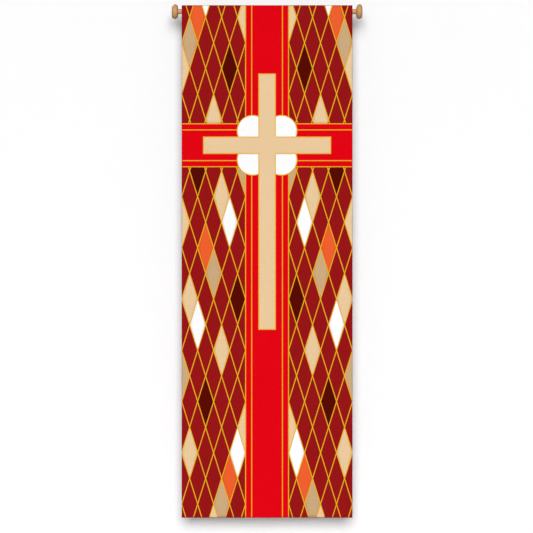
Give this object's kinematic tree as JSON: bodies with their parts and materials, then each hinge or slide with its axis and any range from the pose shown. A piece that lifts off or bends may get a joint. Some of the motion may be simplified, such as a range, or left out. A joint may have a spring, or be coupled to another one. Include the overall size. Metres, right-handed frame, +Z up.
{
  "type": "church banner on a wooden rod",
  "caption": "Tall flat church banner with a sewn-on cross and bands, hung by a pocket at the back of its top edge from a round wooden rod with a knob at each end.",
  "frame": {"origin": "on the rod's axis, at the middle of its length", "axes": "+Z up, X along the rod, the front of the banner faces -Y"},
  "size_m": [1.116, 0.087, 3.0082],
  "materials": {
    "dark_red_cloth": "plain weave, slight sheen",
    "bright_red_cloth": "plain weave, slight sheen",
    "white_cloth": "satin weave",
    "cream_cloth": "satin weave",
    "tan_cloth": "satin weave",
    "orange_cloth": "satin weave",
    "dark_brown_cloth": "plain weave",
    "gold_thread": "satin stitch, glossy thread",
    "sewing_thread": "matt thread",
    "beech_wood": "oiled, semi-matt"
  },
  "bodies": {
    "root": {"banner_cloth": "dark_red_cloth", "band_upright": "bright_red_cloth", "band_left": "bright_red_cloth", "band_right": "bright_red_cloth", "quatrefoil": "white_cloth", "cross": "cream_cloth", "rod": "beech_wood", "knob_left": "beech_wood", "knob_right": "beech_wood"}
  },
  "joints": []
}
